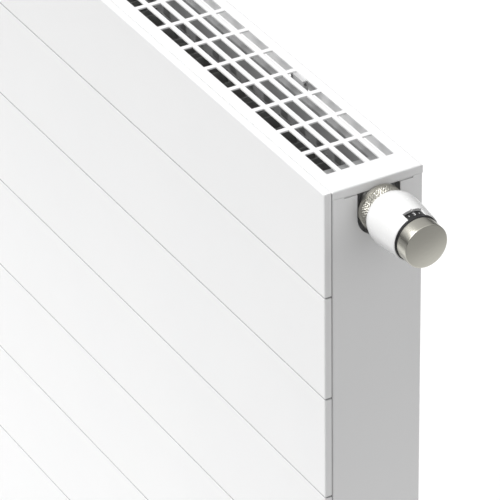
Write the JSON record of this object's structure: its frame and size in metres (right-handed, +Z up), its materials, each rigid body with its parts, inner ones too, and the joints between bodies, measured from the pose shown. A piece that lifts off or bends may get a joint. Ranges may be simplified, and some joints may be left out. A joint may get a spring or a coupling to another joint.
{
  "type": "panel radiator with thermostatic valve",
  "caption": "Flat-front double-panel wall radiator with a grooved front plate, slotted top cover, side covers and a thermostatic valve head at the upper right.",
  "frame": {"origin": "midpoint between the two upper hanging lugs, on the plane where the radiator bears on its wall brackets", "axes": "+Z up, +X along the radiator towards the valve end, +Y to the wall"},
  "size_m": [1.2838, 0.105, 0.9],
  "materials": {
    "white_enamel": "satin white powder coat",
    "fin_steel": "satin white dip coat",
    "clip_plastic": "moulded grey plastic",
    "fibre": "pressed fibre gasket",
    "plug_nickel": "nickel plate",
    "valve_brass": "turned brass",
    "spring_steel": "drawn stainless wire",
    "seal_rubber": "moulded rubber",
    "preset_plastic": "moulded plastic",
    "satin_nickel": "satin nickel",
    "head_white": "glossy white plastic",
    "core_plastic": "moulded light grey plastic",
    "ring_black": "matt black plastic with white numbers",
    "sensor_metal": "drawn capsule"
  },
  "bodies": {
    "radiator": {"front_plate": "white_enamel", "plate_clips": "spring_steel", "grille_clips": "clip_plastic", "side_cover_right": "white_enamel", "side_cover_left": "white_enamel", "side_cover_clips": "clip_plastic", "front_panel_front_sheet": "white_enamel", "front_panel_rear_sheet": "white_enamel", "rear_panel_front_sheet": "white_enamel", "rear_panel_rear_sheet": "white_enamel", "front_convector": "fin_steel", "rear_convector": "fin_steel", "upper_left_tee": "white_enamel", "lower_left_tee": "white_enamel", "valve_housing": "white_enamel", "connection_block": "white_enamel", "riser_pipe": "white_enamel", "plug_gaskets": "fibre", "blanking_plug": "plug_nickel", "vent_plug": "plug_nickel", "hanging_lugs": "white_enamel", "valve_insert_body": "valve_brass", "valve_seat_ring": "valve_brass", "return_spring": "spring_steel", "gland_o_ring": "seal_rubber", "gland_nut": "valve_brass", "union_nut": "satin_nickel", "head_core": "core_plastic", "head_shell": "head_white"},
    "grille": {"top_grille": "white_enamel"},
    "vent_screw": {"vent_screw": "plug_nickel"},
    "preset_ring": {"preset_ring": "preset_plastic"},
    "grip": {"grip_cap": "satin_nickel", "number_ring": "ring_black"},
    "sensor": {"sensor_capsule": "sensor_metal", "push_pin": "core_plastic", "overtravel_spring": "spring_steel", "sensor_carrier": "core_plastic"},
    "spindle": {"valve_spindle": "spring_steel", "valve_seal_disc": "seal_rubber"}
  },
  "joints": [
    {"name": "grille_lift", "type": "slide", "parent": "radiator", "child": "grille", "axis": [0, 0, 1], "range_m": [0, 0.06]},
    {"name": "vent_screw_turn", "type": "hinge", "parent": "radiator", "child": "vent_screw", "pos_m": [-0.5935, -0.0471, 0.071], "axis": [-1, 0, 0], "range_deg": [0, 180]},
    {"name": "preset_turn", "type": "hinge", "parent": "radiator", "child": "preset_ring", "pos_m": [0.605, -0.0471, 0.071], "axis": [1, 0, 0], "range_deg": [-157.5, 157.5]},
    {"name": "grip_turn", "type": "hinge", "parent": "radiator", "child": "grip", "pos_m": [0.675, -0.0471, 0.071], "axis": [1, 0, 0], "range_deg": [-135, 135]},
    {"name": "sensor_slide", "type": "slide", "parent": "radiator", "child": "sensor", "axis": [1, 0, 0], "range_m": [-0.0013, 0.0013]},
    {"name": "spindle_slide", "type": "slide", "parent": "radiator", "child": "spindle", "axis": [1, 0, 0], "range_m": [-0.0013, 0.0013], "deforming": ["return_spring"]}
  ],
  "couplings": [
    {"joint": "sensor_slide", "follows": "grip_turn", "m_per_rad": 0.00047746},
    {"joint": "spindle_slide", "follows": "grip_turn", "m_per_rad": 0.00047746}
  ]
}
